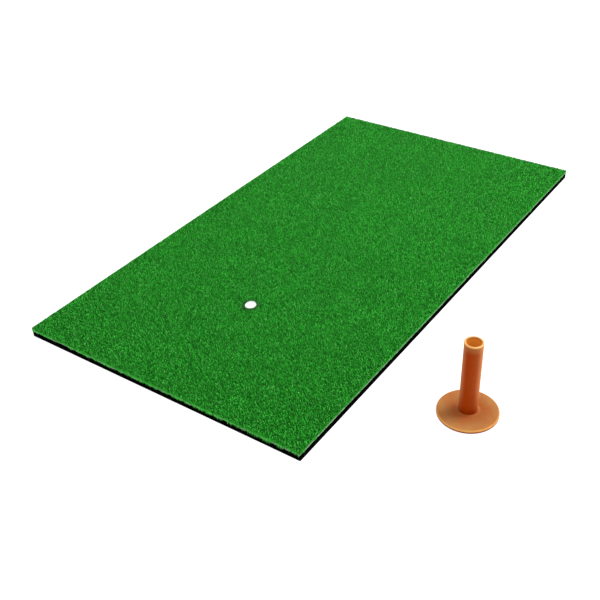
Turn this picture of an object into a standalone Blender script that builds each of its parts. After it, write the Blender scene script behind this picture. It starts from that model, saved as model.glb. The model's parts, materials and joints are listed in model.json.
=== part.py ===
"""Golf hitting mat with its loose rubber range tee.

The mat is a flat laminate: a black foam pad, a rubbery back coat, a woven primary backing and a
short green pile, all cut flush to one rectangle and punched together for the tee. A thin white
sleeve lines the punched hole. The tee is a one-piece rubber moulding, a flat round foot with a
hollow tube standing on it. Its bending when a club strikes it is a hinge near the tube's root, so
the moulding is split there into a base and a post.

Metres, +Z up. The origin is the centre of the mat's underside, on the floor. X runs along the mat
in the direction of play, and the hole is towards -X. The tee stands on the floor on the -Y side.
"""

import math

import bmesh
import bpy

# The mat's outline and its layers, from the floor up.
MAT_LENGTH = 0.600
MAT_WIDTH = 0.330
LAYER_GAP = 0.0003
PAD_THICKNESS = 0.0060
COAT_THICKNESS = 0.0005
BACKING_THICKNESS = 0.0004
PILE_HEIGHT = 0.0030
CORNER_RADIUS = 0.0008
PAD_EDGE_ROUNDING = 0.0003

# The punched hole, a quarter of the length from one end, and the sleeve that lines it.
HOLE_X = -MAT_LENGTH / 4
HOLE_Y = 0.0
PUNCH_RADIUS = 0.0095
LINER_OUTER_RADIUS = PUNCH_RADIUS - LAYER_GAP
LINER_WALL = 0.0005
LINER_BOTTOM = 0.0004
LINER_TOP = 0.0094
CUTTER_LENGTH = 0.040

# The rubber tee.
TEE_X = -0.169
TEE_Y = -0.2565
TEE_HEIGHT = 0.080
TUBE_RADIUS = 0.0086
BORE_RADIUS = 0.0066
FOOT_RADIUS = 0.0281
FOOT_THICKNESS = 0.0040
FOOT_EDGE_RADIUS = 0.0012
BOSS_HEIGHT = 0.0036
BOSS_FILLET = 0.0020
RIM_RADIUS = 0.0005

# The tube turns about this height. The clearance lets its rounded end pass over the boss.
SWING_CLEARANCE = 0.0004
PIVOT_Z = FOOT_THICKNESS + BOSS_HEIGHT + SWING_CLEARANCE + TUBE_RADIUS

# Facets round a full turn, and along each rounded edge.
TURN_STEPS = 48
HOLE_STEPS = 64
ARC_STEPS = 4
BALL_STEPS = 8

MERGE_DISTANCE = 0.00001

PAD_UNDERSIDE = 0.0
COAT_UNDERSIDE = PAD_UNDERSIDE + PAD_THICKNESS + LAYER_GAP
BACKING_UNDERSIDE = COAT_UNDERSIDE + COAT_THICKNESS + LAYER_GAP
PILE_UNDERSIDE = BACKING_UNDERSIDE + BACKING_THICKNESS + LAYER_GAP


def clear_scene():
    """Removes every object that a new file starts with."""
    for obj in list(bpy.data.objects):
        bpy.data.objects.remove(obj)


def new_collection(name):
    """A collection linked to the scene."""
    collection = bpy.data.collections.new(name)
    bpy.context.scene.collection.children.link(collection)
    return collection


def principled(name, colour, roughness, metallic=0.0):
    """A Principled BSDF material in one colour."""
    material = bpy.data.materials.new(name)
    material.use_nodes = True
    shader = material.node_tree.nodes["Principled BSDF"]
    shader.inputs["Base Color"].default_value = (*colour, 1.0)
    shader.inputs["Roughness"].default_value = roughness
    shader.inputs["Metallic"].default_value = metallic
    material.diffuse_color = (*colour, 1.0)
    return material


def foam_material():
    """Black closed-cell foam."""
    return principled("foam_black", (0.008, 0.008, 0.009), 0.85)


def coat_material():
    """Black rubbery back coat."""
    return principled("coat_black", (0.015, 0.016, 0.015), 0.70)


def backing_material():
    """Pale woven backing, seen only where it is cut."""
    return principled("backing_pale", (0.50, 0.58, 0.48), 0.80)


def pile_material():
    """Green artificial grass."""
    return principled("pile_green", (0.021, 0.223, 0.024), 0.65)


def liner_material():
    """White moulded plastic."""
    return principled("liner_white", (0.86, 0.87, 0.86), 0.45)


def tee_material(name):
    """Amber gum rubber."""
    return principled(name, (0.52, 0.21, 0.065), 0.42)


def to_collection(obj, collection):
    """Moves an object out of whatever holds it and into one collection."""
    for holder in list(obj.users_collection):
        holder.objects.unlink(obj)
    collection.objects.link(obj)


def hole_cutter(collection):
    """The round punch that goes through every layer of the mat."""
    bpy.ops.mesh.primitive_cylinder_add(
        vertices=HOLE_STEPS,
        radius=PUNCH_RADIUS,
        depth=CUTTER_LENGTH,
        location=(HOLE_X, HOLE_Y, 0.0),
    )
    cutter = bpy.context.active_object
    cutter.name = "hole_punch"
    cutter.hide_render = True
    cutter.display_type = "WIRE"
    to_collection(cutter, collection)
    return cutter


def round_upright_edges(obj, radius, segments):
    """Rounds the four upright corner edges of a sheet, and no others."""
    mesh = bmesh.new()
    mesh.from_mesh(obj.data)
    upright = [
        edge
        for edge in mesh.edges
        if abs(edge.verts[0].co.x - edge.verts[1].co.x) < MERGE_DISTANCE
        and abs(edge.verts[0].co.y - edge.verts[1].co.y) < MERGE_DISTANCE
    ]
    bmesh.ops.bevel(
        mesh,
        geom=upright,
        offset=radius,
        offset_type="OFFSET",
        segments=segments,
        profile=0.5,
        affect="EDGES",
    )
    mesh.to_mesh(obj.data)
    mesh.free()


def add_sheet(name, underside, thickness, material, cutter, collection):
    """One flat layer of the mat, resting at the height underside, with the punched hole in it."""
    bpy.ops.mesh.primitive_cube_add(size=1.0, location=(0.0, 0.0, underside + thickness / 2))
    sheet = bpy.context.active_object
    sheet.name = name
    sheet.data.name = name
    sheet.scale = (MAT_LENGTH, MAT_WIDTH, thickness)
    bpy.ops.object.transform_apply(location=False, rotation=False, scale=True)
    round_upright_edges(sheet, CORNER_RADIUS, ARC_STEPS)
    punch = sheet.modifiers.new("punched_hole", "BOOLEAN")
    punch.operation = "DIFFERENCE"
    punch.solver = "EXACT"
    punch.object = cutter
    sheet.data.materials.append(material)
    to_collection(sheet, collection)
    return sheet


def make_base_pad(cutter, collection):
    """The foam pad, its long edges very slightly eased."""
    pad = add_sheet(
        "base_pad", PAD_UNDERSIDE, PAD_THICKNESS, foam_material(), cutter, collection
    )
    ease = pad.modifiers.new("eased_edges", "BEVEL")
    ease.width = PAD_EDGE_ROUNDING
    ease.segments = 1
    ease.limit_method = "ANGLE"
    ease.angle_limit = math.radians(60.0)
    return pad


def make_latex_coat(cutter, collection):
    """The back coat that locks the tufts into the backing."""
    return add_sheet(
        "latex_coat", COAT_UNDERSIDE, COAT_THICKNESS, coat_material(), cutter, collection
    )


def make_primary_backing(cutter, collection):
    """The woven sheet that the pile is tufted through."""
    return add_sheet(
        "primary_backing",
        BACKING_UNDERSIDE,
        BACKING_THICKNESS,
        backing_material(),
        cutter,
        collection,
    )


def make_turf_pile(cutter, collection):
    """The pile, as the one solid that its fibres fill."""
    return add_sheet(
        "turf_pile", PILE_UNDERSIDE, PILE_HEIGHT, pile_material(), cutter, collection
    )


def arc(centre_r, centre_z, radius, start_deg, end_deg, steps):
    """Points (r, z) along a circular arc, both ends included."""
    points = []
    for i in range(steps + 1):
        angle = math.radians(start_deg + (end_deg - start_deg) * i / steps)
        points.append((centre_r + radius * math.cos(angle), centre_z + radius * math.sin(angle)))
    return points


def add_turned(name, profile, location, material, collection):
    """A ring turned from a closed profile of (r, z) points that runs down its outer side first."""
    mesh = bpy.data.meshes.new(name)
    outline = bmesh.new()
    corners = [outline.verts.new((r, 0.0, z)) for r, z in profile]
    for here, following in zip(corners, corners[1:] + corners[:1]):
        outline.edges.new((here, following))
    outline.to_mesh(mesh)
    outline.free()
    turned = bpy.data.objects.new(name, mesh)
    turned.location = location
    collection.objects.link(turned)
    screw = turned.modifiers.new("turn", "SCREW")
    screw.angle = math.tau
    screw.steps = TURN_STEPS
    screw.render_steps = TURN_STEPS
    screw.use_merge_vertices = True
    screw.merge_threshold = MERGE_DISTANCE
    screw.use_smooth_shade = True
    mesh.materials.append(material)
    return turned


def make_hole_liner(collection):
    """The thin sleeve in the punched hole, its top just below the tips of the pile."""
    inner = LINER_OUTER_RADIUS - LINER_WALL
    profile = [
        (LINER_OUTER_RADIUS, LINER_TOP),
        (LINER_OUTER_RADIUS, LINER_BOTTOM),
        (inner, LINER_BOTTOM),
        (inner, LINER_TOP),
    ]
    return add_turned(
        "hole_liner", profile, (HOLE_X, HOLE_Y, 0.0), liner_material(), collection
    )


def base_profile():
    """The tee's foot and boss: down the boss, out along the foot, round its edge and back."""
    boss_top = FOOT_THICKNESS + BOSS_HEIGHT
    edge_centre = FOOT_RADIUS - FOOT_EDGE_RADIUS
    profile = [(TUBE_RADIUS, boss_top)]
    profile += arc(
        TUBE_RADIUS + BOSS_FILLET,
        FOOT_THICKNESS + BOSS_FILLET,
        BOSS_FILLET,
        180.0,
        270.0,
        ARC_STEPS,
    )
    profile += arc(
        edge_centre, FOOT_THICKNESS - FOOT_EDGE_RADIUS, FOOT_EDGE_RADIUS, 90.0, 0.0, ARC_STEPS
    )
    profile += arc(edge_centre, FOOT_EDGE_RADIUS, FOOT_EDGE_RADIUS, 0.0, -90.0, ARC_STEPS)
    profile += [(BORE_RADIUS, 0.0), (BORE_RADIUS, boss_top)]
    return profile


def make_tee_base(collection):
    """The round foot with the stump of the tube on it. Its origin is on its line of lift."""
    return add_turned(
        "tee_base", base_profile(), (TEE_X, TEE_Y, 0.0), tee_material("tee_rubber"), collection
    )


def post_profile():
    """The tube, its lower end part of a ball about the pivot. Heights are from the pivot."""
    top = TEE_HEIGHT - PIVOT_Z
    bore_angle = -math.degrees(math.acos(BORE_RADIUS / TUBE_RADIUS))
    profile = arc(TUBE_RADIUS - RIM_RADIUS, top - RIM_RADIUS, RIM_RADIUS, 90.0, 0.0, ARC_STEPS)
    profile += arc(0.0, 0.0, TUBE_RADIUS, 0.0, bore_angle, BALL_STEPS)
    profile += arc(BORE_RADIUS + RIM_RADIUS, top - RIM_RADIUS, RIM_RADIUS, 180.0, 90.0, ARC_STEPS)
    return profile


def make_tee_post(base, collection):
    """The hollow tube. Its origin is on the hinge's axis."""
    post = add_turned(
        "tee_post", post_profile(), (0.0, 0.0, PIVOT_Z), tee_material("tee_tube_rubber"), collection
    )
    post.parent = base
    return post


def main():
    clear_scene()
    parts = new_collection("golf_hitting_mat")
    cutters = new_collection("cutters")
    cutter = hole_cutter(cutters)
    make_base_pad(cutter, parts)
    make_latex_coat(cutter, parts)
    make_primary_backing(cutter, parts)
    make_turf_pile(cutter, parts)
    make_hole_liner(parts)
    base = make_tee_base(parts)
    make_tee_post(base, parts)


main()
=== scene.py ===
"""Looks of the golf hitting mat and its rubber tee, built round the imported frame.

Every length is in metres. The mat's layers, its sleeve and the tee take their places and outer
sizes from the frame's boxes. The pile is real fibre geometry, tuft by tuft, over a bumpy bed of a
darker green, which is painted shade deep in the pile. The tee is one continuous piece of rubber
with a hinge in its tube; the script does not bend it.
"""

import json
import math

import bmesh
import bpy
import numpy as np
from mathutils import Matrix, Vector, noise


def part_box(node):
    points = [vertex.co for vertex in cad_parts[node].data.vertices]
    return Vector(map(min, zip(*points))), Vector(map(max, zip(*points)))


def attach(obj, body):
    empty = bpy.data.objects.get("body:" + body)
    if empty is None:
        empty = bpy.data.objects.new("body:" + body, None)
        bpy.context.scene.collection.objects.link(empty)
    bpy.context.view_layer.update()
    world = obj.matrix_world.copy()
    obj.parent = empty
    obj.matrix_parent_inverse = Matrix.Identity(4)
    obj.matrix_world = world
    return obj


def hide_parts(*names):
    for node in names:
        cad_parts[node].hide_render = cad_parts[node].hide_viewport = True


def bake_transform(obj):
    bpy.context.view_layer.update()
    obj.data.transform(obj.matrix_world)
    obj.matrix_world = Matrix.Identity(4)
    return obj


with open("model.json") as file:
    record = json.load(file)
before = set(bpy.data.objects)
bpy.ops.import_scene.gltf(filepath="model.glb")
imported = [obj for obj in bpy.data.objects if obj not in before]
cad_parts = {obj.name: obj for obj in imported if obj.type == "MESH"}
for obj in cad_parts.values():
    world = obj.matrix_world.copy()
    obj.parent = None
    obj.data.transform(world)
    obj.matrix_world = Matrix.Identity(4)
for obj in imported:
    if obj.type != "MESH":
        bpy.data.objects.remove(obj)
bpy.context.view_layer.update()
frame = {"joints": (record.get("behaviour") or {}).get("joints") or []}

# Bodies of the frame.
MAT_BODY = "mat"

# Boxes of the frame's nodes.
PAD_LOW, PAD_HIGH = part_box("base_pad")
COAT_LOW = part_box("latex_coat")[0]
BACKING_LOW, BACKING_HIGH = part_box("primary_backing")
PILE_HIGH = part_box("turf_pile")[1]
LINER_LOW, LINER_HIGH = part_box("hole_liner")
FOOT_LOW, FOOT_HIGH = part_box("tee_base")
TUBE_LOW, TUBE_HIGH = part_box("tee_post")

MAT_LENGTH = PAD_HIGH.x - PAD_LOW.x
MAT_WIDTH = PAD_HIGH.y - PAD_LOW.y
HOLE = (LINER_LOW + LINER_HIGH) / 2
LINER_RADIUS = (LINER_HIGH.x - LINER_LOW.x) / 2
LINER_WALL = 0.0005
PUNCH_RADIUS = LINER_RADIUS + 0.0003
HOLE_STEPS = 96
CORNER_RADIUS = 0.0008
OUTLINE_STEP = 0.0015

# How far the knife strayed at each layer's cut edge.
PAD_WOBBLE = 0.00016
COAT_WOBBLE = 0.00022
SCRIM_WOBBLE = 0.00020

# Random draws, one seed for each kind of thing.
PILE_SEED = 11
SCRIM_SEED = 23
EDGE_SEED = 37
HOLE_SEED = 41

# The pile: tufts on a jittered grid, each a fan of curled fibres. A tint runs from 0, the darkest
# green, to 1, the driest.
TUFT_SPACING = 0.00225
TUFT_JITTER = 0.42
TUFT_EDGE_MARGIN = 0.0004
TUFT_HOLE_MARGIN = 0.0003
TUFT_CORE = 0.00030
TUFT_TINT = 0.48
TUFT_TINT_SPREAD = 0.07
FIBRE_TINT_SPREAD = 0.26
FIBRE_LEAN = (0.0007, 0.0018)
FIBRE_CURL = 0.0006
FIBRE_RISE = (0.0, 0.48, 0.88, 0.97)
FIBRES_PER_TUFT = 3
PILE_STRIPS = 10
PILE_ROOT_Z = BACKING_HIGH.z
PILE_TIP_Z = PILE_HIGH.z
FIBRE_WIDTH = 0.00078
FIBRE_FLATNESS = 0.45

# At the mat's sides the pile leans out a little and hangs over the cut in clumps. The short sides
# are cut across the tufted rows and shed more. The fringe hangs deeper towards the tee's side.
EDGE_INSET = 0.0003
EDGE_OVERHANG = 0.0006
EDGE_SAG = 0.0010
EDGE_FIBRE_STEP = 0.0007
EDGE_SKEW = 0.0007
CLUMPS_PER_M = 175.0
CLUMP_STRENGTH = 1.2
HANG_DEPTH = 0.0028
HANG_SHORT_SIDE = 0.76
HANG_LONG_SIDE = 0.04
HANG_TOWARDS_TEE = 0.3
HANG_SCATTER = 0.2
STANDING_REACH = 0.0004
HANGING_REACH = 0.0009
# The next tint is darker: painted shade on the standing fibres of the far sides.
FAR_FRINGE_SHADE_TINT = 0.18
FRINGE_TINT = 0.42
FRINGE_TINT_SPREAD = 0.22

# The tape ends that stick out of the backing's cut edge.
TAPE_STEP = 0.0009
TAPE_LENGTH = (0.00005, 0.00035)
TAPE_WIDTH = (0.00035, 0.00065)
TAPE_ROOT_DEPTH = 0.0003
TAPE_FRAY = 0.0008
TAPE_FRAY_LONG_SIDE = 0.25
TAPE_FLATNESS = 0.35

# Round the hole the pile leans in over the sleeve and leaves a nearly round mouth. Its fibres are
# painted dark, painted shade round the mouth, darkest towards MOUTH_SHADE_SIDE.
MOUTH_RADIUS = 0.00555
MOUTH_OVALITY = 0.0004
MOUTH_RIM = 0.0013
MOUTH_LONG_WAY = math.radians(20.0)
MOUTH_SHADE_SIDE = math.radians(150.0)
MOUTH_FIBRES = 420
MOUTH_ROOT = (0.0002, 0.0011)
MOUTH_TIP_SCATTER = 0.00035
MOUTH_SLIDE = 0.0004
MOUTH_RISE = (0.0, 0.66, 0.96, 0.93)
MOUTH_SHADE_TINT = 0.06
MOUTH_TINT_SPREAD = 0.08

# The dense lower pile that closes the view between the fibres, in dark greens that are painted
# shade.
BED_CELL = 0.0016
BED_TOP = PILE_ROOT_Z + 0.0011
BED_BUMP = 0.0005
BED_BUMPS_PER_M = 520.0

# The tee's finer shape. The frame's boxes give the outer sizes, and its joint the hinge. A bend
# would start BEND_CLEARANCE above the foot; the script works out that span but does not bend the
# tee.
TEE_AXIS = Vector(((FOOT_LOW.x + FOOT_HIGH.x) / 2, (FOOT_LOW.y + FOOT_HIGH.y) / 2, 0.0))
FOOT_RADIUS = (FOOT_HIGH.x - FOOT_LOW.x) / 2
FOOT_THICKNESS = 0.0040
TUBE_RADIUS = (TUBE_HIGH.x - TUBE_LOW.x) / 2
TEE_HEIGHT = TUBE_HIGH.z
BORE_RADIUS = 0.0066
TEE_TURN_STEPS = 128
BEND_CLEARANCE = 0.0006
TEE_HINGE = Vector(
    next(joint["pos_m"] for joint in frame["joints"] if joint["name"] == "tee_flex")
)


# ---------------------------------------------------------------- materials


class Nodes:
    """A material's node tree, with short calls to add and link nodes."""

    def __init__(self, name):
        self.material = bpy.data.materials.new(name)
        self.material.use_nodes = True
        self.tree = self.material.node_tree
        self.shader = self.tree.nodes["Principled BSDF"]

    def add(self, kind, **settings):
        node = self.tree.nodes.new(kind)
        for key, value in settings.items():
            if key in node.inputs:
                node.inputs[key].default_value = value
            else:
                setattr(node, key, value)
        return node

    def link(self, output, target):
        self.tree.links.new(output, target)

    def place(self):
        """Coordinates in metres in the row frame's own space."""
        return self.add("ShaderNodeTexCoord").outputs["Object"]

    def attribute(self, name):
        return self.add("ShaderNodeAttribute", attribute_name=name).outputs["Fac"]

    def noise(self, scale, detail=3.0, roughness=0.55, vector=None):
        node = self.add("ShaderNodeTexNoise")
        node.inputs["Scale"].default_value = scale
        node.inputs["Detail"].default_value = detail
        node.inputs["Roughness"].default_value = roughness
        self.link(vector if vector is not None else self.place(), node.inputs["Vector"])
        return node.outputs["Fac"]

    def ramp(self, factor, stops):
        """A colour ramp through (position, colour) stops."""
        node = self.add("ShaderNodeValToRGB")
        elements = node.color_ramp.elements
        while len(elements) < len(stops):
            elements.new(0.5)
        for element, (position, colour) in zip(elements, stops):
            element.position = position
            element.color = (*colour, 1.0)
        self.link(factor, node.inputs["Fac"])
        return node.outputs["Color"]

    def spread(self, factor, low, high, from_low=0.3, from_high=0.7):
        """Maps a factor to the range low to high."""
        node = self.add("ShaderNodeMapRange")
        node.inputs["From Min"].default_value = from_low
        node.inputs["From Max"].default_value = from_high
        node.inputs["To Min"].default_value = low
        node.inputs["To Max"].default_value = high
        self.link(factor, node.inputs["Value"])
        return node.outputs["Result"]

    def mix(self, factor, first, second, blend="MIX"):
        """Mixes two colours. Each may be a socket or a plain colour."""
        node = self.add("ShaderNodeMix", data_type="RGBA", blend_type=blend)
        values = (factor, first, second)
        sockets = (node.inputs[0], node.inputs[6], node.inputs[7])
        for value, socket in zip(values, sockets):
            if isinstance(value, bpy.types.NodeSocket):
                self.link(value, socket)
            elif isinstance(value, tuple):
                socket.default_value = (*value, 1.0)
            else:
                socket.default_value = value
        return node.outputs[2]

    def bump(self, height, distance, strength=1.0, before=None):
        node = self.add("ShaderNodeBump")
        node.inputs["Distance"].default_value = distance
        node.inputs["Strength"].default_value = strength
        self.link(height, node.inputs["Height"])
        if before is not None:
            self.link(before, node.inputs["Normal"])
        return node.outputs["Normal"]

    def finish(self, colour, roughness, normal=None, **values):
        self.link(colour, self.shader.inputs["Base Color"])
        self.link(roughness, self.shader.inputs["Roughness"])
        if normal is not None:
            self.link(normal, self.shader.inputs["Normal"])
        for key, value in values.items():
            self.shader.inputs[key.replace("_", " ")].default_value = value
        return self.material


# The first green is painted shade, for the fibres' roots and the hole's fringe; the rest are the
# fibres' own greens.
GREEN_PAINTED_SHADE = (0.001, 0.034, 0.001)
GREEN_DARK = (0.004, 0.120, 0.004)
GREEN_MID = (0.013, 0.390, 0.013)
GREEN_LIGHT = (0.062, 0.700, 0.058)
GREEN_DRY = (0.130, 0.620, 0.110)


def turf_material():
    """Synthetic fibres: each its own green, in soft random drifts of tone. Each fibre is painted
    darker towards its root, painted shade deep in the pile, and a depth attribute paints the hole's
    fringe darker, painted shade round the hole.
    """
    nodes = Nodes("turf_fibre")
    tint = nodes.attribute("tint")
    fibre = nodes.ramp(
        tint, [(0.0, GREEN_DARK), (0.45, GREEN_MID), (0.90, GREEN_LIGHT), (1.0, GREEN_DRY)]
    )
    # Painted shade: darker towards each fibre's root, and towards the shade green where depth is
    # set.
    rise = nodes.spread(nodes.attribute("rise"), 0.25, 1.0, 0.0, 0.75)
    shaded = nodes.mix(rise, GREEN_PAINTED_SHADE, fibre)
    painted_shade = nodes.mix(nodes.attribute("depth"), shaded, GREEN_PAINTED_SHADE)
    drift = nodes.spread(nodes.noise(26.0, 4.0), 0.92, 1.07)
    drift_colour = nodes.add("ShaderNodeCombineColor")
    for channel in ("Red", "Green", "Blue"):
        nodes.link(drift, drift_colour.inputs[channel])
    colour = nodes.mix(1.0, painted_shade, drift_colour.outputs["Color"], "MULTIPLY")
    roughness = nodes.spread(tint, 0.62, 0.42, 0.0, 1.0)
    return nodes.finish(colour, roughness, Specular_IOR_Level=0.25)


def bed_material():
    """The depth of the pile, in dark greens that are painted shade."""
    nodes = Nodes("turf_bed_painted_shade")
    speckle = nodes.noise(900.0, 2.0, 0.6)
    colour = nodes.ramp(speckle, [(0.30, (0.001, 0.042, 0.001)), (0.70, (0.007, 0.180, 0.007))])
    roughness = nodes.spread(speckle, 0.75, 0.95)
    normal = nodes.bump(nodes.noise(1400.0, 3.0, 0.7), 0.0008)
    return nodes.finish(colour, roughness, normal, Specular_IOR_Level=0.1)


def foam_material():
    """Black closed-cell foam: fine cells in a matt skin."""
    nodes = Nodes("foam")
    cells = nodes.add("ShaderNodeTexVoronoi", feature="F1")
    cells.inputs["Scale"].default_value = 1900.0
    nodes.link(nodes.place(), cells.inputs["Vector"])
    grain = nodes.noise(700.0, 4.0, 0.7)
    colour = nodes.ramp(grain, [(0.35, (0.0002, 0.0002, 0.0002)), (0.75, (0.0010, 0.0010, 0.0011))])
    roughness = nodes.spread(grain, 0.85, 1.00)
    first = nodes.bump(cells.outputs["Distance"], 0.00022, 0.7)
    normal = nodes.bump(grain, 0.00025, 0.5, first)
    return nodes.finish(colour, roughness, normal, Specular_IOR_Level=0.004)


def coat_material():
    """Black rubbery coat, a little glossier than the foam."""
    nodes = Nodes("back_coat")
    grain = nodes.noise(1100.0, 4.0, 0.65)
    colour = nodes.ramp(grain, [(0.3, (0.0004, 0.0005, 0.0004)), (0.8, (0.0015, 0.0020, 0.0015))])
    roughness = nodes.spread(grain, 0.65, 0.85)
    normal = nodes.bump(grain, 0.00020, 0.6)
    return nodes.finish(colour, roughness, normal, Specular_IOR_Level=0.02)


def scrim_material():
    """Pale woven tapes, stained green where the pile has shed on them."""
    nodes = Nodes("scrim")
    fibre = nodes.noise(1600.0, 3.0, 0.6)
    stain = nodes.noise(260.0, 3.0, 0.6)
    pale = nodes.ramp(fibre, [(0.3, (0.27, 0.50, 0.26)), (0.7, (0.50, 0.74, 0.46))])
    colour = nodes.mix(nodes.spread(stain, 0.0, 0.80, 0.46, 0.62), pale, (0.08, 0.34, 0.08))
    roughness = nodes.spread(fibre, 0.60, 0.85)
    normal = nodes.bump(fibre, 0.00015, 0.6)
    return nodes.finish(colour, roughness, normal)


def liner_material():
    """White moulded plastic, given a little glow: painted light that keeps the inside of the hole
    white where it would be in shade.
    """
    nodes = Nodes("white_liner")
    skin = nodes.noise(900.0, 2.0, 0.5)
    colour = nodes.ramp(skin, [(0.3, (0.93, 0.93, 0.93)), (0.7, (0.98, 0.98, 0.98))])
    roughness = nodes.spread(skin, 0.35, 0.50)
    normal = nodes.bump(skin, 0.00004, 0.5)
    return nodes.finish(
        colour,
        roughness,
        normal,
        Subsurface_Weight=0.15,
        Emission_Color=(1.0, 1.0, 1.0, 1.0),
        Emission_Strength=0.22,
    )


def gum_rubber_material():
    """Amber gum rubber, deep red-brown in the body of the tube, its colour painted with light and
    shade.

    Painted shade darkens it at the tube's root and under the foot's edge, and a painted glow of
    light through the rubber makes it golden towards its rims and the foot's edge. Seen at a slant
    its outer skin is painted tan, a painted sheen. The upper bore glows amber, which stands in for
    light that comes through the wall.
    """
    nodes = Nodes("gum_rubber")
    # Painted light and shade: the ramp is darkest at the tube's root and under the foot, golden
    # towards the rims.
    body = nodes.ramp(
        nodes.attribute("rim_glow_and_shade"),
        [
            (0.00, (0.115, 0.007, 0.001)),
            (0.25, (0.260, 0.029, 0.001)),
            (0.50, (0.322, 0.142, 0.048)),
            (0.75, (0.550, 0.255, 0.065)),
            (1.00, (0.830, 0.490, 0.190)),
        ],
    )
    cloud = nodes.noise(95.0, 3.0, 0.5)
    mottled = nodes.mix(nodes.spread(cloud, 0.0, 0.35), body, (0.325, 0.044, 0.001))
    # Painted sheen: at a slant the outer skin is mixed towards tan.
    slant = nodes.add("ShaderNodeLayerWeight", Blend=0.5).outputs["Facing"]
    skin = nodes.add("ShaderNodeMath", operation="MULTIPLY")
    nodes.link(nodes.spread(slant, 0.0, 0.9, 0.34, 0.95), skin.inputs[0])
    nodes.link(nodes.attribute("skin"), skin.inputs[1])
    pale = nodes.mix(skin.outputs["Value"], mottled, (0.560, 0.225, 0.085))
    glow = nodes.attribute("glow")
    colour = nodes.mix(glow, pale, (0.390, 0.125, 0.010))
    fine = nodes.noise(2200.0, 3.0, 0.6)
    roughness = nodes.spread(nodes.noise(420.0, 4.0, 0.6), 0.58, 0.70)
    normal = nodes.bump(fine, 0.00003, 0.6)
    material = nodes.finish(
        colour,
        roughness,
        normal,
        Subsurface_Weight=0.10,
        Subsurface_Scale=0.002,
    )
    nodes.shader.inputs["Subsurface Radius"].default_value = (1.0, 0.35, 0.08)
    shine = nodes.spread(nodes.attribute("shine"), 0.0, 0.03, 0.0, 1.0)
    nodes.link(shine, nodes.shader.inputs["Specular IOR Level"])
    nodes.link(colour, nodes.shader.inputs["Emission Color"])
    nodes.link(glow, nodes.shader.inputs["Emission Strength"])
    return material


def floor_material():
    """A plain floor that shines white like a light table, so no shadows show on it."""
    nodes = Nodes("studio_floor")
    grain = nodes.noise(6.0, 2.0)
    colour = nodes.ramp(grain, [(0.0, (0.28, 0.28, 0.28)), (1.0, (0.30, 0.30, 0.30))])
    return nodes.finish(
        colour,
        nodes.spread(grain, 0.9, 1.0),
        Specular_IOR_Level=0.0,
        Emission_Color=(1.0, 1.0, 1.0, 1.0),
        Emission_Strength=0.9,
    )


# ---------------------------------------------------------------- shapes


def new_object(name, mesh, material):
    mesh.materials.append(material)
    obj = bpy.data.objects.new(name, mesh)
    bpy.context.scene.collection.objects.link(obj)
    return obj


def arc(centre_r, centre_z, radius, start_deg, end_deg, steps):
    """Points (r, z) along a circular arc, both ends included."""
    angles = np.radians(np.linspace(start_deg, end_deg, steps + 1))
    return [(centre_r + radius * math.cos(a), centre_z + radius * math.sin(a)) for a in angles]


def line(start, end, steps):
    """Points along a straight stretch, without its first point."""
    shares = np.linspace(0.0, 1.0, steps + 1)[1:]
    return [
        (start[0] + (end[0] - start[0]) * s, start[1] + (end[1] - start[1]) * s) for s in shares
    ]


def turned(name, profile, centre, steps, material):
    """A closed ring turned from a closed (r, z) profile, smooth all round."""
    mesh = bmesh.new()
    rings = []
    for k in range(steps):
        angle = math.tau * k / steps
        cos, sin = math.cos(angle), math.sin(angle)
        rings.append(
            [mesh.verts.new((centre.x + r * cos, centre.y + r * sin, z)) for r, z in profile]
        )
    count = len(profile)
    for k in range(steps):
        here, following = rings[k], rings[(k + 1) % steps]
        for i in range(count):
            j = (i + 1) % count
            mesh.faces.new((here[i], here[j], following[j], following[i]))
    bmesh.ops.recalc_face_normals(mesh, faces=mesh.faces)
    data = bpy.data.meshes.new(name)
    mesh.to_mesh(data)
    mesh.free()
    data.shade_smooth()
    return new_object(name, data, material)


def rectangle_outline(inset, step):
    """Points round the mat's outline with small round corners, moved in by inset."""
    half_x = MAT_LENGTH / 2 - inset
    half_y = MAT_WIDTH / 2 - inset
    radius = max(CORNER_RADIUS - inset, CORNER_RADIUS / 2)
    corners = [(1, 1, 0), (-1, 1, 90), (-1, -1, 180), (1, -1, 270)]
    points = []
    for sx, sy, start in corners:
        cx, cy = sx * (half_x - radius), sy * (half_y - radius)
        for turn in (0, 22.5, 45, 67.5, 90):
            angle = math.radians(start + turn)
            points.append((cx + radius * math.cos(angle), cy + radius * math.sin(angle)))
    outline = []
    for here, following in zip(points, points[1:] + points[:1]):
        gap = math.dist(here, following)
        pieces = max(1, round(gap / step))
        for k in range(pieces):
            s = k / pieces
            outline.append(
                (here[0] + (following[0] - here[0]) * s, here[1] + (following[1] - here[1]) * s)
            )
    return outline


def cut_wobble(x, y, z, amount):
    """How far the knife strayed inward from a straight cut at this place on a cut edge."""
    slow = noise.noise(Vector((x * 45.0, y * 45.0, z * 60.0)))
    quick = noise.noise(Vector((x * 420.0, y * 420.0, z * 900.0 + 7.0)))
    return amount * (0.6 * slow + 0.4 * quick)


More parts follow.
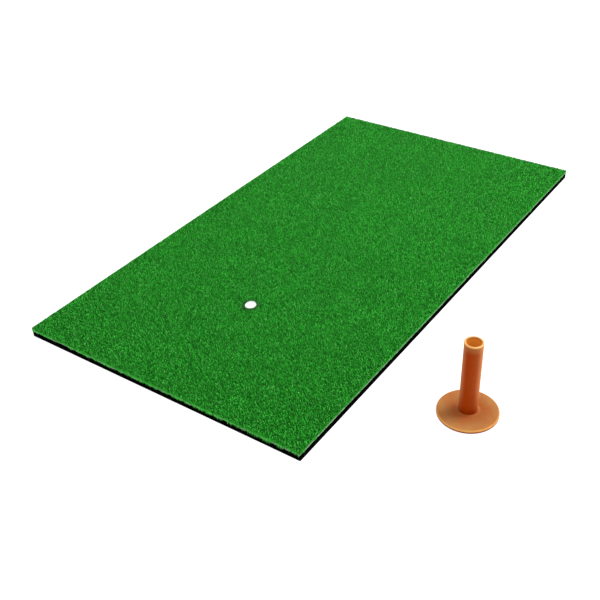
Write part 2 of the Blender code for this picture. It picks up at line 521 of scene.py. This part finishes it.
def sheet_layer(name, rings, wobble, material):
    """A flat layer with cut sides and the punched hole.

    rings are (z, inset), from the bottom up.
    """
    mesh = bmesh.new()
    outer, inner = [], []
    for z, inset in rings:
        loop = []
        for x, y in rectangle_outline(inset, OUTLINE_STEP):
            shift = cut_wobble(x, y, z, wobble)
            length = math.hypot(x, y)
            loop.append(mesh.verts.new((x * (1 - shift / length), y * (1 - shift / length), z)))
        outer.append(loop)
        radius = PUNCH_RADIUS + inset
        inner.append(
            [
                mesh.verts.new(
                    (
                        HOLE.x + radius * math.cos(math.tau * k / HOLE_STEPS),
                        HOLE.y + radius * math.sin(math.tau * k / HOLE_STEPS),
                        z,
                    )
                )
                for k in range(HOLE_STEPS)
            ]
        )
    for loops in (outer, inner):
        for low, high in zip(loops, loops[1:]):
            count = len(low)
            for i in range(count):
                j = (i + 1) % count
                mesh.faces.new((low[i], low[j], high[j], high[i]))
    for level in (0, -1):
        edges = []
        for loop in (outer[level], inner[level]):
            for here, following in zip(loop, loop[1:] + loop[:1]):
                edges.append(mesh.edges.get((here, following)))
        bmesh.ops.triangle_fill(mesh, edges=edges, use_beauty=False)
    bmesh.ops.recalc_face_normals(mesh, faces=mesh.faces)
    data = bpy.data.meshes.new(name)
    mesh.to_mesh(data)
    mesh.free()
    return new_object(name, data, material)


def fibre_mesh(name, lines, side, widths, flatness, values, material):
    """Many closed three-sided blades in one mesh.

    lines (n, 4, 3) are centre lines from root to tip, side (n, 3) the unit direction across each
    blade, widths (n, 3) its width at the first three points. values are named per-blade shades.
    Each blade has its own cell of the UV map.
    """
    count = len(lines)
    blade_verts = 10
    along = np.empty((count, 3, 3))
    along[:, 0] = lines[:, 1] - lines[:, 0]
    along[:, 1] = lines[:, 2] - lines[:, 0]
    along[:, 2] = lines[:, 3] - lines[:, 1]
    along /= np.linalg.norm(along, axis=2, keepdims=True)
    across = np.repeat(side[:, None, :], 3, axis=1)
    out = np.cross(across, along)
    half = widths[:, :, None] / 2
    rings = np.empty((count, 3, 3, 3))
    rings[:, :, 0] = lines[:, :3] + across * half
    rings[:, :, 1] = lines[:, :3] - across * half
    rings[:, :, 2] = lines[:, :3] + out * half * 2 * flatness
    verts = np.concatenate([rings.reshape(count, 9, 3), lines[:, 3:4]], axis=1)
    quads = []
    for r in (0, 1):
        for a, b in ((0, 1), (1, 2), (2, 0)):
            quads.append((3 * r + a, 3 * r + b, 3 * r + 3 + b, 3 * r + 3 + a))
    tris = [(6, 7, 9), (7, 8, 9), (8, 6, 9), (0, 2, 1)]
    pattern = np.array([i for face in quads + tris for i in face])
    sizes = np.array([4] * len(quads) + [3] * len(tris))
    loops = (pattern[None, :] + blade_verts * np.arange(count)[:, None]).ravel()
    totals = np.tile(sizes, count)
    starts = np.concatenate([[0], np.cumsum(totals)[:-1]])
    data = bpy.data.meshes.new(name)
    data.vertices.add(count * blade_verts)
    data.vertices.foreach_set("co", verts.astype(np.float32).ravel())
    data.loops.add(len(loops))
    data.loops.foreach_set("vertex_index", loops.astype(np.int32))
    data.polygons.add(len(totals))
    data.polygons.foreach_set("loop_start", starts.astype(np.int32))
    data.update(calc_edges=True)
    rise = np.array([0.0, 0.0, 0.0, 0.4, 0.4, 0.4, 0.8, 0.8, 0.8, 1.0])
    data.attributes.new("rise", "FLOAT", "POINT").data.foreach_set(
        "value", np.tile(rise, count).astype(np.float32)
    )
    for key, value in values.items():
        data.attributes.new(key, "FLOAT", "POINT").data.foreach_set(
            "value", np.repeat(value, blade_verts).astype(np.float32)
        )
    cells = math.ceil(math.sqrt(count))
    corner = np.stack([np.arange(count) % cells, np.arange(count) // cells], axis=1)
    u = np.array([0.2, 0.5, 0.8] * 3 + [0.5])
    v = 0.15 + 0.7 * rise
    uv = (corner[:, None, :] + np.stack([u, v], axis=1)[None]) / cells
    layer = data.uv_layers.new(name="OFBake")
    layer.data.foreach_set("uv", uv.reshape(-1, 2)[loops].astype(np.float32).ravel())
    data.shade_smooth()
    return new_object(name, data, material)


# ---------------------------------------------------------------- the mat


def pile_roots(rng):
    """Tuft centres on a jittered grid, clear of the punched hole."""
    nx = round(MAT_LENGTH / TUFT_SPACING)
    ny = round(MAT_WIDTH / TUFT_SPACING)
    x, y = np.meshgrid((np.arange(nx) + 0.5) / nx - 0.5, (np.arange(ny) + 0.5) / ny - 0.5)
    tufts = np.stack([x.ravel() * MAT_LENGTH, y.ravel() * MAT_WIDTH], axis=1)
    tufts += rng.uniform(-TUFT_JITTER, TUFT_JITTER, tufts.shape) * TUFT_SPACING
    limit = np.array([MAT_LENGTH / 2, MAT_WIDTH / 2]) - TUFT_EDGE_MARGIN
    tufts = np.clip(tufts, -limit, limit)
    away = np.hypot(tufts[:, 0] - HOLE.x, tufts[:, 1] - HOLE.y)
    return tufts[away > PUNCH_RADIUS + TUFT_HOLE_MARGIN]


def clump_noise(points, seed):
    """Smooth noise from about -1 to 1 that groups neighbouring fibres into clumps."""
    return np.array(
        [noise.noise(Vector((x * CLUMPS_PER_M, y * CLUMPS_PER_M, seed))) for x, y in points]
    )


def sag_over_edge(lines):
    """Fibre points past the mat's sides sink a little, and stop at the overhang."""
    half = np.array([MAT_LENGTH / 2, MAT_WIDTH / 2])
    past = np.clip(np.abs(lines[:, :, :2]) - half, 0.0, None).max(axis=2)
    lines[:, :, :2] = np.clip(lines[:, :, :2], -half - EDGE_OVERHANG, half + EDGE_OVERHANG)
    lines[:, :, 2] -= np.minimum(past, EDGE_SAG)
    return lines


def keep_off_mouth(lines):
    """Moves fibre points that lean over the hole back to the rim of its mouth."""
    centre = np.array([HOLE.x, HOLE.y])
    offset = lines[:, :, :2] - centre
    away = np.linalg.norm(offset, axis=2, keepdims=True)
    rim = MOUTH_RADIUS + MOUTH_RIM
    lines[:, :, :2] = np.where(away < rim, centre + offset * rim / away, lines[:, :, :2])
    return lines


def with_heights(places, heights):
    """Centre lines from four (n, 2) places and four heights over the pile's root."""
    points = [
        np.concatenate([xy, np.broadcast_to(PILE_ROOT_Z + rise, (len(xy), 1))], axis=1)
        for xy, rise in zip(places, heights)
    ]
    return np.stack(points, axis=1)


def finish_pile_piece(piece):
    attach(piece, MAT_BODY)
    return piece


def make_pile(material):
    """All the fibres, as strips that run the length of the mat."""
    rng = np.random.default_rng(PILE_SEED)
    tufts = pile_roots(rng)
    n = len(tufts)
    fan = rng.uniform(0.0, math.tau, n)
    tuft_tint = rng.normal(TUFT_TINT, TUFT_TINT_SPREAD, n)
    tallness = rng.uniform(0.90, 1.06, n)
    lines, sides, widths, tints = [], [], [], []
    height = PILE_TIP_Z - PILE_ROOT_Z
    for k in range(FIBRES_PER_TUFT):
        angle = fan + k * math.tau / FIBRES_PER_TUFT + rng.uniform(-0.6, 0.6, n)
        way = np.stack([np.cos(angle), np.sin(angle)], axis=1)
        across = np.stack([-way[:, 1], way[:, 0]], axis=1)
        lean = rng.uniform(*FIBRE_LEAN, n)[:, None]
        curl = rng.uniform(-FIBRE_CURL, FIBRE_CURL, n)[:, None]
        tall = (height * tallness * rng.uniform(0.86, 1.04, n))[:, None]
        root = tufts + way * TUFT_CORE
        middle = root + way * lean * 0.30 + across * curl
        upper = root + way * lean * 0.85 - across * curl * 0.6
        tip = root + way * lean * 1.45 - across * curl * 1.6
        heights = [share * tall for share in FIBRE_RISE]
        lines.append(with_heights([root, middle, upper, tip], heights))
        sides.append(np.concatenate([across, np.zeros((n, 1))], axis=1))
        wide = FIBRE_WIDTH * rng.uniform(0.75, 1.2, n)[:, None]
        widths.append(wide * np.array([[0.75, 1.0, 0.8]]))
        tints.append(np.clip(tuft_tint + rng.normal(0.0, FIBRE_TINT_SPREAD, n), 0.0, 1.0))
    lines = keep_off_mouth(sag_over_edge(np.concatenate(lines)))
    sides = np.concatenate(sides)
    widths, tints = np.concatenate(widths), np.concatenate(tints)
    edges = np.linspace(-MAT_WIDTH / 2, MAT_WIDTH / 2, PILE_STRIPS + 1)[1:-1]
    strip_of = np.searchsorted(edges, lines[:, 0, 1])
    strips = []
    for s in range(PILE_STRIPS):
        chosen = strip_of == s
        strip = fibre_mesh(
            f"turf_pile_strip_{s + 1}",
            lines[chosen],
            sides[chosen],
            widths[chosen],
            FIBRE_FLATNESS,
            {"tint": tints[chosen]},
            material,
        )
        strips.append(finish_pile_piece(strip))
    return strips


def edge_directions(outline):
    """The outward direction (n, 3) of the side that each outline point lies on."""
    half = np.array([MAT_LENGTH / 2, MAT_WIDTH / 2])
    nearest = np.argmin(half - np.abs(outline), axis=1)
    outward = np.zeros((len(outline), 3))
    rows = np.arange(len(outline))
    outward[rows, nearest] = np.sign(outline[rows, nearest])
    return outward


def make_edge_fringe(material):
    """The outermost fibres: a third stand, and the rest can hang over the cut edge in clumps."""
    rng = np.random.default_rng(EDGE_SEED)
    outline = np.array(rectangle_outline(EDGE_INSET, EDGE_FIBRE_STEP))
    outline = np.concatenate([outline, outline, outline])
    n = len(outline)
    outward = edge_directions(outline)
    across = np.cross(outward, np.array([0.0, 0.0, 1.0]))
    skew = across[:, :2] * rng.uniform(-EDGE_SKEW, EDGE_SKEW, n)[:, None]
    standing = np.arange(n) >= n * 2 // 3
    far = np.where(standing, STANDING_REACH, HANGING_REACH)
    reach = outward[:, :2] * (far * rng.uniform(0.4, 1.0, n))[:, None]
    towards_tee = np.clip(0.5 - outline[:, 1] / MAT_WIDTH, 0.0, 1.0)
    short_side = outward[:, 0] != 0.0
    short_usual = HANG_SHORT_SIDE + HANG_TOWARDS_TEE * towards_tee
    usual = np.where(short_side, short_usual, HANG_LONG_SIDE)
    hang = usual + CLUMP_STRENGTH * clump_noise(outline, 3.0)
    hang = hang + rng.uniform(-HANG_SCATTER, HANG_SCATTER, n)
    hang = np.where(standing, 0.0, np.clip(hang, 0.0, 1.0))[:, None]
    tall = (PILE_TIP_Z - PILE_ROOT_Z) * rng.uniform(0.82, 0.98, n)[:, None]
    depth = HANG_DEPTH * ((0.35 + 0.90 * towards_tee) * rng.uniform(0.7, 1.1, n))[:, None]
    places = [
        outline,
        outline + reach * 0.4 + skew * 0.3,
        outline + reach * 0.9 + skew * 0.7,
        outline + reach * 1.1 + skew,
    ]
    heights = [
        0.0 * tall,
        0.5 * tall,
        0.9 * tall - hang * 0.55 * tall,
        0.92 * tall - hang * (0.92 * tall + depth),
    ]
    lines = sag_over_edge(with_heights(places, heights))
    widths = FIBRE_WIDTH * rng.uniform(0.7, 1.1, n)[:, None] * np.array([[0.8, 1.0, 0.8]])
    # Painted shade: standing fibres on the +X and +Y sides get a darker tint.
    far_side = outward[:, :2].sum(axis=1) > 0.0
    near_tint = FRINGE_TINT + 0.30 * hang[:, 0]
    usual_tint = np.where(standing & far_side, FAR_FRINGE_SHADE_TINT, near_tint)
    tints = np.clip(rng.normal(usual_tint, FRINGE_TINT_SPREAD), 0.0, 1.0)
    fringe = fibre_mesh(
        "turf_pile_edge_fringe", lines, across, widths, FIBRE_FLATNESS, {"tint": tints}, material
    )
    return finish_pile_piece(fringe)


def make_mouth_fringe(material):
    """Fibres that lean in over the sleeve and frame the hole's mouth."""
    rng = np.random.default_rng(HOLE_SEED)
    n = MOUTH_FIBRES
    angle = math.tau * (np.arange(n) + rng.uniform(0.0, 1.0, n)) / n
    inward = -np.stack([np.cos(angle), np.sin(angle)], axis=1)
    across = np.stack([-inward[:, 1], inward[:, 0], np.zeros(n)], axis=1)
    centre = np.array([HOLE.x, HOLE.y])
    mouth = MOUTH_RADIUS + MOUTH_OVALITY * np.cos(2.0 * (angle - MOUTH_LONG_WAY))
    tip_radius = mouth + np.abs(rng.normal(0.0, MOUTH_TIP_SCATTER, n))
    root_radius = PUNCH_RADIUS + rng.uniform(*MOUTH_ROOT, n)
    tall = (PILE_TIP_Z - PILE_ROOT_Z) * rng.uniform(0.86, 0.98, n)[:, None]
    places = []
    for share in (0.0, 0.12, 0.62, 1.0):
        radius = root_radius + (tip_radius - root_radius) * share
        slide = across[:, :2] * (rng.uniform(-MOUTH_SLIDE, MOUTH_SLIDE, n) * share)[:, None]
        places.append(centre - inward * radius[:, None] + slide)
    lines = with_heights(places, [share * tall for share in MOUTH_RISE])
    widths = FIBRE_WIDTH * rng.uniform(0.7, 1.1, n)[:, None] * np.array([[0.9, 1.0, 0.7]])
    # Painted shade: the mouth's fibres get a dark tint, and depth mixes them further towards the
    # shade green, most towards MOUTH_SHADE_SIDE.
    tints = np.clip(rng.normal(MOUTH_SHADE_TINT, MOUTH_TINT_SPREAD, n), 0.0, 1.0)
    depth = 0.42 + 0.34 * np.cos(angle - MOUTH_SHADE_SIDE) + rng.uniform(-0.2, 0.2, n)
    fringe = fibre_mesh(
        "turf_pile_hole_fringe",
        lines,
        across,
        widths,
        FIBRE_FLATNESS,
        {"tint": tints, "depth": np.clip(depth, 0.0, 1.0)},
        material,
    )
    return finish_pile_piece(fringe)


def hole_punch(radius):
    """A cylinder for cutting the hole through a dense mesh."""
    bpy.ops.mesh.primitive_cylinder_add(
        vertices=HOLE_STEPS, radius=radius, depth=0.04, location=(HOLE.x, HOLE.y, 0.0)
    )
    return bpy.context.active_object


def make_bed(material):
    """The bumpy lower pile, closed below and at its sides."""
    nx, ny = round(MAT_LENGTH / BED_CELL), round(MAT_WIDTH / BED_CELL)
    mesh = bmesh.new()
    bmesh.ops.create_grid(mesh, x_segments=nx, y_segments=ny, size=1.0)
    for vert in mesh.verts:
        x = vert.co.x * (MAT_LENGTH / 2 - EDGE_INSET)
        y = vert.co.y * (MAT_WIDTH / 2 - EDGE_INSET)
        lift = noise.noise(Vector((x * BED_BUMPS_PER_M, y * BED_BUMPS_PER_M, 0.0)))
        vert.co = Vector((x, y, BED_TOP + BED_BUMP * lift))
    rim = [edge for edge in mesh.edges if edge.is_boundary]
    extruded = bmesh.ops.extrude_edge_only(mesh, edges=rim)
    low_edges = [e for e in extruded["geom"] if isinstance(e, bmesh.types.BMEdge)]
    low_verts = [v for v in extruded["geom"] if isinstance(v, bmesh.types.BMVert)]
    for vert in low_verts:
        vert.co.z = PILE_ROOT_Z
    bmesh.ops.triangle_fill(
        mesh, edges=[e for e in low_edges if e.is_boundary], use_beauty=False
    )
    bmesh.ops.recalc_face_normals(mesh, faces=mesh.faces)
    data = bpy.data.meshes.new("turf_pile_bed")
    mesh.to_mesh(data)
    mesh.free()
    data.shade_smooth()
    bed = new_object("turf_pile_bed", data, material)
    punch = hole_punch(PUNCH_RADIUS)
    cut = bed.modifiers.new("hole", "BOOLEAN")
    cut.operation = "DIFFERENCE"
    cut.object = punch
    bpy.context.view_layer.objects.active = bed
    bpy.ops.object.modifier_apply(modifier=cut.name)
    bpy.data.objects.remove(punch)
    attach(bed, MAT_BODY)
    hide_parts("turf_pile")
    return bed


def make_pad(material):
    """The foam pad up to the coat, its cut sides slightly hollow, its lower edge pressed round."""
    low, high = PAD_LOW.z, COAT_LOW.z
    thick = high - low
    rings = [
        (low, 0.00014),
        (low + 0.00010, 0.00004),
        (low + 0.0004, 0.00001),
        (low + 0.25 * thick, 0.00005),
        (low + 0.50 * thick, 0.00012),
        (low + 0.75 * thick, 0.00008),
        (high - 0.0003, 0.00003),
        (high, 0.00010),
    ]
    pad = sheet_layer("base_pad_foam", rings, PAD_WOBBLE, material)
    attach(pad, MAT_BODY)
    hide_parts("base_pad")
    return pad


def make_coat(material):
    """The back coat, squeezed a little out of the cut."""
    low, high = COAT_LOW.z, BACKING_LOW.z
    rings = [
        (low, 0.00016),
        (low + 0.3 * (high - low), 0.00004),
        (low + 0.7 * (high - low), 0.00002),
        (high, 0.00014),
    ]
    coat = sheet_layer("latex_back_coat", rings, COAT_WOBBLE, material)
    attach(coat, MAT_BODY)
    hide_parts("latex_coat")
    return coat


def make_scrim(material):
    """The woven backing as a slim sheet; make_scrim_ends adds the cut ends of its tapes along every
    side.
    """
    low, high = BACKING_LOW.z, PILE_ROOT_Z
    rings = [(low, 0.00005), ((low + high) / 2, -0.00005), (high, 0.00008)]
    sheet = sheet_layer("primary_backing_scrim", rings, SCRIM_WOBBLE, material)
    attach(sheet, MAT_BODY)
    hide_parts("primary_backing")
    return sheet


def make_scrim_ends(material):
    """Cut tape ends that stick out between the pile and the coat."""
    rng = np.random.default_rng(SCRIM_SEED)
    outline = np.array(rectangle_outline(0.0, TAPE_STEP))
    n = len(outline)
    outward = edge_directions(outline)
    side = np.cross(outward, np.array([0.0, 0.0, 1.0]))
    fray = np.clip(0.40 + 1.5 * clump_noise(outline, 9.0), 0.0, 1.0)
    fray = np.where(outward[:, 0] != 0.0, fray, TAPE_FRAY_LONG_SIDE * fray)[:, None]
    long = rng.uniform(*TAPE_LENGTH, n)[:, None] + TAPE_FRAY * fray
    heights = rng.uniform(BACKING_LOW.z + 0.0001, PILE_ROOT_Z + 0.0001, n)[:, None]
    edge = np.concatenate([outline, heights], axis=1)
    reach = outward + side * rng.uniform(-0.4, 0.4, n)[:, None]
    droop = np.array([0.0, 0.0, -1.0]) * (rng.uniform(-0.1, 0.35, n)[:, None] + 0.9 * fray)
    lines = np.stack(
        [
            edge - outward * TAPE_ROOT_DEPTH,
            edge + reach * long * 0.4,
            edge + (reach + droop * 0.5) * long * 0.8,
            edge + (reach + droop) * long,
        ],
        axis=1,
    )
    widths = rng.uniform(*TAPE_WIDTH, n)[:, None] * np.array([[1.0, 0.9, 0.6]])
    ends = fibre_mesh(
        "primary_backing_cut_ends", lines, side, widths, TAPE_FLATNESS, {}, material
    )
    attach(ends, MAT_BODY)
    return ends


def make_liner(material):
    """The white sleeve, with a rounded lip at its top."""
    outer = LINER_RADIUS
    inner = LINER_RADIUS - LINER_WALL
    low, high = LINER_LOW.z, LINER_HIGH.z
    middle = (outer + inner) / 2
    lip = (outer - inner) / 2
    profile = arc(middle, high - lip, lip, 0.0, 180.0, 8)
    profile += line((inner, high - lip), (inner, low + lip), 6)
    profile += arc(middle, low + lip, lip, 180.0, 360.0, 8)[1:]
    profile += line((outer, low + lip), (outer, high - lip), 6)[:-1]
    liner = turned("hole_liner_sleeve", profile, HOLE, HOLE_STEPS, material)
    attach(liner, MAT_BODY)
    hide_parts("hole_liner")
    return liner


# ---------------------------------------------------------------- the tee


def tee_profile():
    """The tee's section: underside, foot edge, crowned top, root collar, tube, rim and bore."""
    edge_low, edge_high = 0.0010, 0.0013
    collar_radius = TUBE_RADIUS + 0.0019
    collar_top = FOOT_THICKNESS + 0.0005
    fillet = 0.0016
    rim = 0.0008
    taper = 0.0001
    chamfer = 0.0005
    ring_gap = 0.0008
    profile = line((BORE_RADIUS + chamfer, 0.0), (FOOT_RADIUS - edge_low, 0.0), 12)
    profile += arc(FOOT_RADIUS - edge_low, edge_low, edge_low, -90.0, 0.0, 6)[1:]
    profile += arc(
        FOOT_RADIUS - edge_high, FOOT_THICKNESS - 0.0002 - edge_high, edge_high, 0.0, 90.0, 8
    )
    profile += line(profile[-1], (collar_radius + 0.0004, FOOT_THICKNESS), 12)
    profile += [(collar_radius + 0.0001, FOOT_THICKNESS + 0.00012)]
    profile += [(collar_radius - 0.0001, collar_top - 0.00010)]
    profile += [(collar_radius - 0.0003, collar_top)]
    profile += arc(TUBE_RADIUS + fillet, collar_top + fillet, fillet, 270.0, 180.0, 8)
    top = TEE_HEIGHT
    rise = round((top - rim - profile[-1][1]) / ring_gap)
    profile += line(profile[-1], (TUBE_RADIUS - taper, top - rim), rise)
    profile += arc(TUBE_RADIUS - taper - rim, top - rim, rim, 0.0, 90.0, 6)[1:]
    profile += arc(BORE_RADIUS + rim, top - rim, rim, 90.0, 180.0, 6)
    fall = round((top - rim) / ring_gap)
    profile += line((BORE_RADIUS, top - rim), (BORE_RADIUS, chamfer), fall)
    profile += [(BORE_RADIUS + chamfer, 0.0)]
    return profile


def ramp_up(values, start, end):
    """Smooth steps of an array: 0 before start, 1 after end."""
    share = np.clip((values - start) / (end - start), 0.0, 1.0)
    return share * share * (3.0 - 2.0 * share)


def tee_shades(points):
    """Four shades at each point of the tee.

    The first, for the colour, is painted light and shade. It runs from 0 under the foot to 1 at the
    tube's rim: lower at the tube's root and under the foot's edge, which is painted shade, and
    higher towards the rims and the foot's edge, a painted glow of light through the rubber. skin
    says how much the outer skin is painted tan at a slant, a painted sheen: less near the tube's
    root and not at all in the bore. shine follows it on the tube, and the foot is matt. glow is the
    amber light that comes through the wall into the upper bore, just short of the rim.
    """
    # up is 0 at the foot's top and 1 at the rim. out is 0 at the tube and 1 at the foot's edge.
    radius = np.hypot(points[:, 0] - TEE_AXIS.x, points[:, 1] - TEE_AXIS.y)
    up = (points[:, 2] - FOOT_THICKNESS) / (TEE_HEIGHT - FOOT_THICKNESS)
    out = (radius - TUBE_RADIUS) / (FOOT_RADIUS - TUBE_RADIUS)
    # Painted light and shade: darker at the tube's root, lighter towards the rims and the foot's
    # edge.
    wall = 0.12 + 0.13 * ramp_up(up, 0.0, 0.12)
    wall += 0.12 * ramp_up(up, 0.88, 0.96) + 0.63 * ramp_up(up, 0.972, 1.0)
    bore = 0.30 + 0.12 * ramp_up(up, 0.75, 0.97) + 0.45 * ramp_up(up, 0.985, 1.0)
    foot = 0.40 + 0.14 * ramp_up(out, 0.1, 0.9) + 0.30 * ramp_up(out, 0.93, 1.0)
    # Painted shade: darker under the foot's edge.
    under = ramp_up(-points[:, 2], -0.0026, -0.0010)
    foot -= 0.75 * under
    in_bore = radius < (TUBE_RADIUS + BORE_RADIUS) / 2
    on_tube = (radius < TUBE_RADIUS + 0.0003) & (up > 0.0)
    light_and_shade = np.where(on_tube, np.where(in_bore, bore, wall), foot)
    # Painted sheen: how much the outer skin is painted tan at a slant.
    tube_sheen = 0.30 + 0.70 * ramp_up(up, 0.02, 0.45)
    skin = np.where(on_tube, np.where(in_bore, 0.0, tube_sheen), 1.0 - under)
    shine = np.where(on_tube, skin * ramp_up(up, 0.04, 0.14), 0.0)
    lit = 0.80 * ramp_up(up, 0.55, 0.94) * (1.0 - 0.9 * ramp_up(up, 0.972, 0.990))
    glow = np.where(on_tube & in_bore, lit, 0.0)
    return {"rim_glow_and_shade": np.clip(light_and_shade, 0.0, 1.0), "skin": skin, "shine": shine, "glow": glow}


def make_tee(material):
    """One continuous rubber moulding. The span round the tube's hinge is worked out, but the tee is
    not bent.
    """
    tee = turned("rubber_tee", tee_profile(), TEE_AXIS, TEE_TURN_STEPS, material)
    points = np.empty(len(tee.data.vertices) * 3, np.float32)
    tee.data.vertices.foreach_get("co", points)
    for name, shade in tee_shades(points.reshape(-1, 3)).items():
        tee.data.attributes.new(name, "FLOAT", "POINT").data.foreach_set(
            "value", shade.astype(np.float32)
        )
    reach = Vector((0.0, 0.0, TEE_HINGE.z - FOOT_THICKNESS - BEND_CLEARANCE))
    start, end = TEE_HINGE - reach, TEE_HINGE + reach
    tuple(start)
    tuple(end)
    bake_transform(tee)
    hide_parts("tee_base", "tee_post")
    return tee


# ---------------------------------------------------------------- studio


def make_floor():
    """The floor, a hair below the mat so that the two never share a plane."""
    bpy.ops.mesh.primitive_plane_add(size=30.0, location=(0.0, 0.0, -0.0002))
    floor = bpy.context.active_object
    floor.name = "studio_floor"
    floor.data.materials.append(floor_material())
    return floor


def make_light(name, place, aim, size, watts):
    data = bpy.data.lights.new(name, "AREA")
    data.shape = "DISK"
    data.size = size
    data.energy = watts
    light = bpy.data.objects.new(name, data)
    light.location = place
    light.rotation_euler = (Vector(aim) - Vector(place)).to_track_quat("-Z", "Y").to_euler()
    bpy.context.scene.collection.objects.link(light)
    return light


def light_only(light, receiver):
    """Keeps a light to one object."""
    receivers = bpy.data.collections.new(light.name + "_receivers")
    receivers.objects.link(receiver)
    light.light_linking.receiver_collection = receivers


def make_side_light(receiver):
    """A low warm light beside the tee, seen only in its gloss: it turns one side of it tan."""
    place = TEE_AXIS + Vector((0.042, -0.3205, 0.090))
    aim = TEE_AXIS + Vector((0.0, 0.0005, 0.040))
    light = make_light("tee_side", place, aim, size=0.12, watts=34.0)
    light.data.color = (1.0, 0.78, 0.32)
    light.visible_diffuse = False
    light.visible_camera = False
    light_only(light, receiver)


def make_world(strength):
    """Even white light from all round."""
    world = bpy.data.worlds.new("studio")
    world.use_nodes = True
    background = world.node_tree.nodes["Background"]
    background.inputs["Color"].default_value = (1.0, 1.0, 1.0, 1.0)
    background.inputs["Strength"].default_value = strength
    bpy.context.scene.world = world


def make_camera():
    """The catalogue view: down on the mat from beyond its hole end, tee in front."""
    eye = Vector((-0.7512, -0.4963, 0.5616))
    azimuth, elevation, roll = math.radians(-54.228), math.radians(35.153), math.radians(-2.249)
    back = Vector(
        (
            math.sin(azimuth) * math.cos(elevation),
            -math.cos(azimuth) * math.cos(elevation),
            math.sin(elevation),
        )
    )
    data = bpy.data.cameras.new("camera")
    data.sensor_width = 36.0
    data.lens = 55.265
    data.clip_start = 0.01
    data.clip_end = 100.0
    camera = bpy.data.objects.new("camera", data)
    level = back.to_track_quat("Z", "Y")
    camera.matrix_world = (
        Matrix.Translation(eye) @ level.to_matrix().to_4x4() @ Matrix.Rotation(roll, 4, "Z")
    )
    bpy.context.scene.collection.objects.link(camera)
    bpy.context.scene.camera = camera


def set_view():
    settings = bpy.context.scene.view_settings
    settings.view_transform = "Standard"
    settings.look = "None"


turf = turf_material()
scrim = scrim_material()
make_pad(foam_material())
make_coat(coat_material())
make_scrim(scrim)
make_scrim_ends(scrim)
make_bed(bed_material())
make_pile(turf)
make_edge_fringe(turf)
make_mouth_fringe(turf)
make_liner(liner_material())
tee = make_tee(gum_rubber_material())
make_floor()
make_world(strength=1.02)
make_light("key", place=(0.9, -1.1, 1.6), aim=(0.0, 0.0, 0.0), size=1.2, watts=40.0)
make_side_light(tee)
make_camera()
set_view()
